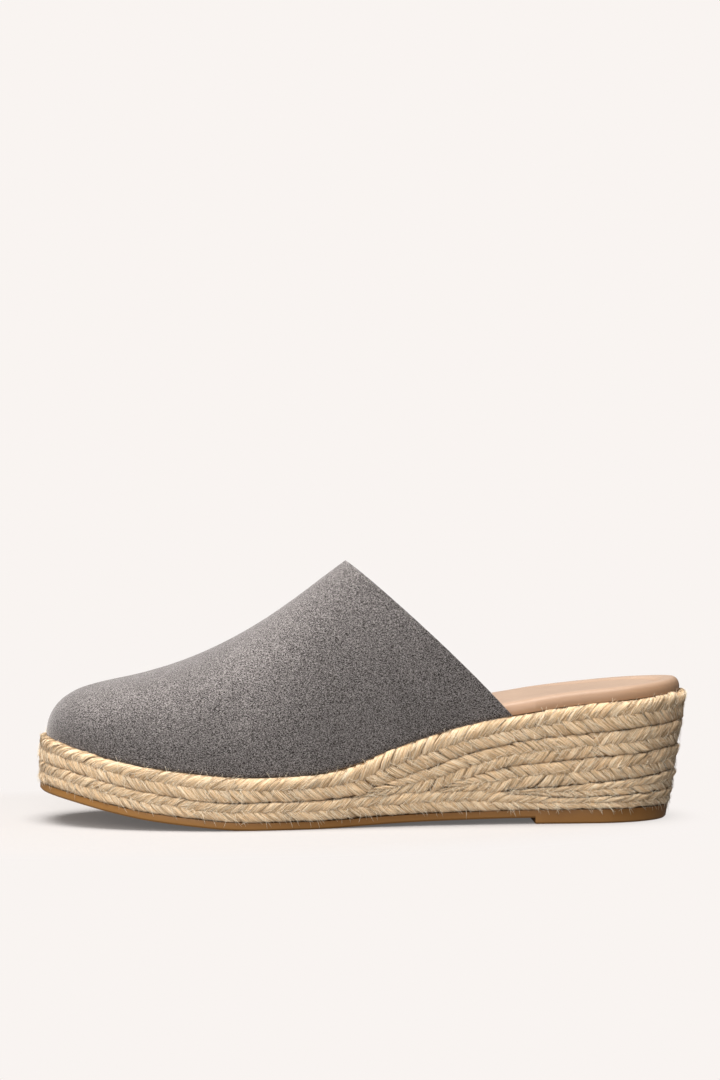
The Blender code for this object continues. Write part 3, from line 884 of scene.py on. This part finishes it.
def suede_material(settings):
    """Nap in light and dark specks, with painted light from above: darker where the upper faces
    sideways, lighter where it faces up.
    """
    material, tree, shader = new_material(
        "suede", Roughness=0.95, Specular_IOR_Level=0.12, Sheen_Weight=0.55, Sheen_Roughness=0.40,
        Sheen_Tint=(0.95, 0.90, 0.88, 1.0),
    )
    place = tree.place()
    brushed = tree.add("ShaderNodeMapping", {
        "Vector": place, "Rotation": (0.3, 0.5, 0.2), "Scale": (1.0, 1.0, 1.7),
    }).outputs[0]
    nap = tree.noise(brushed, 1.0 / settings.nap, 3.0, Roughness=0.7, Distortion=0.6)
    cloud = tree.noise(place, 42.0, 3.0)
    grain = tree.ramp(nap, (0.44, 0.0), (0.51, 0.40), (0.60, 1.0))
    mottled = tree.mix(grain, settings.dark, settings.light)
    # Painted light from above: the suede is lighter where it faces up and darker on its sides.
    painted_light_from_above = tree.ramp(tree.kept("upward"), (0.05, 0.66), (0.35, 0.80), (0.50, 0.84), (0.75, 1.0))
    tone = tree.math("MULTIPLY", tree.ramp(cloud, (0.30, 0.84), (0.70, 1.0)), painted_light_from_above)
    connect(tree, shader, tree.shaded(mottled, tone), tree.bump(nap, 0.6, 0.0004))
    return material


def grained_material(name, base, scale, detail, dark, relief, **values):
    """One colour with a fine grain of this scale, detail, darkest tone and relief."""
    material, tree, shader = new_material(name, **values)
    grain = tree.noise(tree.place(), scale, detail)
    tone = tree.ramp(grain, (0.3, dark), (0.7, 1.0))
    connect(tree, shader, tree.shaded(base, tone), tree.bump(grain, *relief))
    return material


def lining_material(settings):
    return grained_material(
        "lining", settings.lining, 900.0, 3.0, 0.85, (0.3, 0.0002),
        Roughness=0.6, Specular_IOR_Level=0.3,
    )


def edge_material(settings):
    return grained_material(
        "suede_edge", settings.edge, 1600.0, 2.0, 0.7, (0.7, 0.0003),
        Roughness=0.9, Specular_IOR_Level=0.15,
    )


COLLAR_FRONT = -0.01  # the collar's cut edge lies behind this x
EDGE_WIDTH = 0.0025  # its faces have a side shorter than this
EDGE_LEAN = 0.3  # its faces look back at least this much
LINING_AXIS = (0.03, 0.03)  # a point this far behind a face, and this high, is inside the shoe
UPPER_CREASE = (50, 0.75)  # degrees from which its corners stay, and how sharp


def upper_parts(mesh):
    """Marks each face: 0 outside, 1 lining, 2 cut edge."""
    behind, high = LINING_AXIS
    for face in mesh.faces:
        middle = face.calc_center_median()
        inward = Vector((middle.x + behind, 0.0, high)) - middle
        narrow = min(edge.calc_length() for edge in face.edges) < EDGE_WIDTH
        cut = narrow and middle.x > COLLAR_FRONT and face.normal.x > EDGE_LEAN and face.normal.z > 0
        face.material_index = 2 if cut else int(face.normal.dot(inward) > 0)
    return mesh


# Insole

INSOLE_CREASE = (60, 1.0)  # degrees from which its corners stay, and how sharp
TOP_FACING, SIDE_FACING = 0.5, 0.35  # upward part of the normal on its top and on its sides
RIM_SHARE = 0.35  # share of the groove's inset over which the rim's colour fades
GROOVE_TINT = 0.35  # how much of the rim's colour the groove takes


def insole_material(settings):
    """Smooth leather with fine creases along the foot, pores and a darker rim."""
    material, tree, shader = new_material(
        "insole_leather", Roughness=0.48, Specular_IOR_Level=0.42, Coat_Weight=0.06,
        Coat_Roughness=0.4,
    )
    place = tree.place()
    stretched = tree.add("ShaderNodeMapping", {"Vector": place, "Scale": (0.45, 1.0, 1.0)}).outputs[0]
    creases = tree.noise(stretched, 260.0, 5.0, Roughness=0.6, Distortion=1.2)
    pores = tree.add("ShaderNodeTexVoronoi", {"Vector": place, "Scale": 1500.0}).outputs[0]
    cloud = tree.noise(place, 30.0, 2.0)
    leather = tree.mix(tree.kept("rim"), settings.leather, settings.rim)
    both = tree.math("ADD", tree.math("MULTIPLY", creases, 0.55), tree.math("MULTIPLY", cloud, 0.45))
    base = tree.shaded(leather, tree.ramp(both, (0.35, 0.90), (0.62, 1.0)))
    height = tree.math("ADD", creases, tree.math("MULTIPLY", pores, 0.15))
    connect(tree, shader, base, tree.bump(height, 0.22, 0.0004))
    return material


# Outsole

# Painted light: the rubber is lightened towards its rounded toe, where light falls, and towards its
# lower edge as a painted reflection of the floor, against painted shade up under the jute.
TOE_FADE = (-0.02, -0.12)  # x over which the rubber grows lighter to the toe
TOE_PAINTED_LIGHT, LOW_EDGE_PAINTED_REFLECTION = 0.48, 0.45  # share of light rubber at the toe and at the lower edge
MOULD_ANGLE, SHARP_ANGLE = 30, 40  # degrees from which edges are rounded, and from which they stay


def outsole_material(settings):
    """Gum rubber with painted light: lighter to its rounded toe, and to its lower edge as a
    painted reflection of the floor, against painted shade up under the jute.
    """
    material, tree, shader = new_material("gum_rubber", Roughness=0.5, Specular_IOR_Level=0.3)
    place = tree.place()
    cloud = tree.noise(place, 60.0, 3.0)
    fine = tree.noise(place, 1300.0, 2.0)
    forward = tree.add("ShaderNodeSeparateXYZ", {0: place}).outputs[0]
    toe = tree.span(forward, *TOE_FADE, 0.0, TOE_PAINTED_LIGHT)
    lit = tree.math("ADD", toe, tree.ramp(tree.kept("low"), (0.0, 0.0), (1.0, LOW_EDGE_PAINTED_REFLECTION)))
    rubber = tree.mix(lit, settings.rubber, settings.light)
    base = tree.shaded(rubber, tree.ramp(cloud, (0.3, 0.92), (0.7, 1.0)))
    connect(tree, shader, base, tree.bump(fine, 0.15, 0.0002))
    return material


# Operators


class MULE_OT_plait(bpy.types.Operator):
    """Lay the plaited jute strands on every row of the wedge"""

    bl_idname = "mule.plait"
    bl_label = "Plait the jute rows"

    def execute(self, context):
        settings = context.scene.mule.plait
        material = jute_material(settings)
        tree, sockets = plait_tree()
        drawn = strand_set()
        for seed, name in enumerate(JUTE_ROWS):
            points, core = strand_points(name, settings)
            context.scene.collection.objects.link(points)
            modifier = points.modifiers.new("plait", "NODES")
            modifier.node_group = tree
            for label, value in (
                ("Strands", drawn), ("Core", core), ("Wander", settings.wander),
                ("Seed", seed), ("Finish", material),
            ):
                modifier[sockets[label]] = value
            evaluated = points.evaluated_get(context.evaluated_depsgraph_get())
            mesh = bpy.data.meshes.new_from_object(evaluated)
            row = make_object(name.replace("jute_row", "plait"), mesh, material)
            for spare in (points, core):
                bpy.data.objects.remove(spare)
            hand_over(row, name)
        for spare in list(drawn.objects):
            bpy.data.objects.remove(spare)
        bpy.data.collections.remove(drawn)
        return {"FINISHED"}


class MULE_OT_upper(bpy.types.Operator):
    """Make the suede upper with its lining and cut edge"""

    bl_idname = "mule.upper"
    bl_label = "Make the suede upper"

    def execute(self, context):
        settings = context.scene.mule.suede
        mesh = crease_corners(upper_parts(node_mesh("upper")), *UPPER_CREASE)
        materials = (suede_material(settings), lining_material(settings), edge_material(settings))
        upper = make_object("suede_upper", mesh, *materials)
        subdivide(upper, 2)
        # How much each point faces up, which the suede turns into painted light from above.
        store(upper.data, "upward", [max(vert.normal.z, 0.0) for vert in upper.data.vertices])
        hand_over(upper, "upper")
        return {"FINISHED"}


class MULE_OT_insole(bpy.types.Operator):
    """Make the padded leather insole with its rolled rim and groove"""

    bl_idname = "mule.insole"
    bl_label = "Make the insole"

    def execute(self, context):
        settings = context.scene.mule.insole
        mesh = crease_corners(node_mesh("insole"), *INSOLE_CREASE)
        insole = make_object("leather_insole", mesh, insole_material(settings))
        subdivide(insole, 2)
        self.shape(insole.data, settings)
        hand_over(insole, "insole")
        return {"FINISHED"}

    def shape(self, mesh, settings):
        """Raises the rim and sinks the groove, by the distance to the insole's edge."""
        top = [v for v in mesh.vertices if v.normal.z > TOP_FACING]
        edge = [v for v in mesh.vertices if abs(v.normal.z) < SIDE_FACING]
        tree = KDTree(len(edge))
        for vert in edge:
            tree.insert((vert.co.x, vert.co.y, 0.0), vert.index)
        tree.balance()
        rim = [1.0] * len(mesh.vertices)
        for vert in top:
            away = tree.find((vert.co.x, vert.co.y, 0.0))[2]
            groove = math.exp(-((away - settings.groove_inset) / settings.groove_width) ** 2)
            roll = math.sin(math.pi * min(away / settings.groove_inset, 1.0))
            vert.co.z += settings.roll * roll - settings.groove_depth * groove
            near = max(0.0, 1.0 - away / (RIM_SHARE * settings.groove_inset))
            rim[vert.index] = near + GROOVE_TINT * groove
        store(mesh, "rim", rim)


class MULE_OT_outsole(bpy.types.Operator):
    """Make the moulded gum rubber outsole"""

    bl_idname = "mule.outsole"
    bl_label = "Make the outsole"

    def execute(self, context):
        settings = context.scene.mule.outsole
        mesh = node_mesh("outsole", quads=False)
        outsole = make_object("gum_outsole", mesh, outsole_material(settings))
        modifier = outsole.modifiers.new("edges", "BEVEL")
        modifier.width = settings.bevel
        modifier.segments = 2
        modifier.limit_method = "ANGLE"
        modifier.angle_limit = math.radians(MOULD_ANGLE)
        apply_modifiers(outsole)
        outsole.data.shade_smooth()
        outsole.data.set_sharp_from_angle(angle=math.radians(SHARP_ANGLE))
        # How low each point lies on the sole's side, for the painted reflection of the floor at its
        # lower edge.
        shape = RowShape("outsole")
        low = []
        for vert in outsole.data.vertices:
            bottom, top = shape.heights(vert.co.x)
            low.append(min(max((top - vert.co.z) / (top - bottom), 0.0), 1.0))
        store(outsole.data, "low", low)
        hand_over(outsole, "outsole")
        return {"FINISHED"}


# Stage

CAMERA_DISTANCE = 1.5  # from the middle of the shoe, along the floor
CAMERA_HEIGHT = 0.158
CAMERA_AZIMUTH = math.radians(-2.5)
CAMERA_PITCH = math.radians(1.785)
CAMERA_ROLL = math.radians(-0.25)
CAMERA_YAW = math.radians(0.03)
FRAME_HEIGHT = 1080  # pixels of the photo's frame
FOCAL_PIXELS = 3760.4  # focal length in pixels of that frame
SENSOR = 36.0  # millimetres


FLOOR_RADIUS = 6.0


def area_light(name, place, aim, size, power, tint):
    """A round soft light at a place, turned to its aim."""
    light = bpy.data.lights.new(name, "AREA")
    light.shape = "DISK"
    light.size = size
    light.energy = power
    light.color = tint
    made = bpy.data.objects.new(name, light)
    bpy.context.scene.collection.objects.link(made)
    made.location = place
    made.rotation_euler = (Vector(aim) - Vector(place)).to_track_quat("-Z", "Y").to_euler()
    return made


NEAR, FAR = 0.15, 0.21  # reach over which the lit floor fades into the backdrop
SHADOW_LIFT = 0.12  # share of the backdrop that shines through in the shadows
FLOOR_CENTRE = 0.070  # how far towards the toe that reach is measured from
FLOOR_SPREAD = 1.5  # how much faster it fades across the shoe than along it


def seen_or_ambient(tree, ambient):
    """1 where the camera looks, and the ambient share for the light on the shoe."""
    seen = tree.add("ShaderNodeLightPath").outputs["Is Camera Ray"]
    return tree.span(seen, 0.0, 1.0, ambient, 1.0)


def floor_material(settings):
    """Lit near the shoe, and the plain backdrop colour away from it."""
    material = bpy.data.materials.new("floor")
    material.use_nodes = True
    tree = Tree(material.node_tree)
    material.node_tree.nodes.clear()
    moved = tree.add("ShaderNodeVectorMath", {0: tree.place(), 1: (FLOOR_CENTRE, 0.0, 0.0)})
    oval = tree.add("ShaderNodeVectorMath", {
        0: moved.outputs[0], 1: (1.0, FLOOR_SPREAD, 1.0),
    }, operation="MULTIPLY")
    away = tree.add("ShaderNodeVectorMath", {0: oval.outputs[0]}, operation="LENGTH")
    away = away.outputs["Value"]
    far = tree.span(away, NEAR, FAR, SHADOW_LIFT, 1.0, interpolation_type="SMOOTHSTEP")
    lit = [part * settings.floor for part in settings.backdrop]
    seen = seen_or_ambient(tree, settings.bounce)
    near = tree.add("ShaderNodeBsdfDiffuse", {"Color": tree.mix(seen, (0, 0, 0), lit)}).outputs[0]
    plain = tree.add("ShaderNodeEmission", {
        "Color": (*settings.backdrop, 1.0), "Strength": seen_or_ambient(tree, settings.ambient),
    }).outputs[0]
    mixed = tree.add("ShaderNodeMixShader", {0: far, 1: near, 2: plain}).outputs[0]
    tree.add("ShaderNodeOutputMaterial", {0: mixed})
    return material


class MULE_OT_stage(bpy.types.Operator):
    """Set the floor, the lights and the camera"""

    bl_idname = "mule.stage"
    bl_label = "Set the stage"

    def execute(self, context):
        settings = context.scene.mule.stage
        scene = context.scene
        mesh = bmesh.new()
        bmesh.ops.create_circle(mesh, cap_ends=True, segments=96, radius=FLOOR_RADIUS)
        floor = make_object("floor", mesh, floor_material(settings))

        world = bpy.data.worlds.new("studio")
        world.use_nodes = True
        sky = world.node_tree.nodes["Background"]
        sky.inputs["Color"].default_value = (*settings.backdrop, 1.0)
        strength = seen_or_ambient(Tree(world.node_tree), settings.ambient)
        world.node_tree.links.new(strength, sky.inputs["Strength"])
        scene.world = world
        scene.view_settings.view_transform = "Standard"

        area_light("key", (-0.4, -0.35, 2.1), (0.0, 0.0, 0.03), 2.0, settings.key, (1.0, 0.99, 0.98))
        area_light("fill", (-0.4, -1.8, 0.8), (0.0, 0.0, 0.05), 1.4, settings.fill, (1.0, 1.0, 1.0))

        lens = bpy.data.cameras.new("camera")
        lens.sensor_fit = "VERTICAL"
        lens.sensor_height = SENSOR
        lens.lens = FOCAL_PIXELS / FRAME_HEIGHT * SENSOR
        camera = bpy.data.objects.new("camera", lens)
        scene.collection.objects.link(camera)
        turn = Matrix.Rotation(CAMERA_AZIMUTH + CAMERA_YAW, 4, "Z")
        turn = turn @ Matrix.Rotation(math.pi / 2 - CAMERA_PITCH, 4, "X")
        turn = turn @ Matrix.Rotation(CAMERA_ROLL, 4, "Z")
        place = Vector((math.sin(CAMERA_AZIMUTH), -math.cos(CAMERA_AZIMUTH), 0.0)) * CAMERA_DISTANCE
        place.z = CAMERA_HEIGHT
        camera.matrix_world = Matrix.Translation(place) @ turn
        scene.camera = camera
        return {"FINISHED"}


class MULE_PT_panel(bpy.types.Panel):
    """The mule's pieces and their settings"""

    bl_idname = "MULE_PT_panel"
    bl_label = "Wedge mule"
    bl_space_type = "VIEW_3D"
    bl_region_type = "UI"
    bl_category = "Mule"

    def draw(self, context):
        for operator, group in zip(OPERATORS, ("plait", "suede", "insole", "outsole", "stage")):
            box = self.layout.box()
            box.operator(operator.bl_idname)
            settings = getattr(context.scene.mule, group)
            for name in settings.bl_rna.properties.keys():
                if name not in ("rna_type", "name"):
                    box.prop(settings, name)


OPERATORS = (MULE_OT_plait, MULE_OT_upper, MULE_OT_insole, MULE_OT_outsole, MULE_OT_stage)
CLASSES = (
    PlaitSettings, SuedeSettings, InsoleSettings, OutsoleSettings, StageSettings, MuleSettings,
    *OPERATORS, MULE_PT_panel,
)


def register():
    for item in CLASSES:
        bpy.utils.register_class(item)
    bpy.types.Scene.mule = PointerProperty(type=MuleSettings)


def unregister():
    del bpy.types.Scene.mule
    for item in reversed(CLASSES):
        bpy.utils.unregister_class(item)


def main():
    register()
    bpy.ops.mule.stage()
    bpy.ops.mule.plait()
    bpy.ops.mule.upper()
    bpy.ops.mule.insole()
    bpy.ops.mule.outsole()


if __name__ == "__main__":
    main()
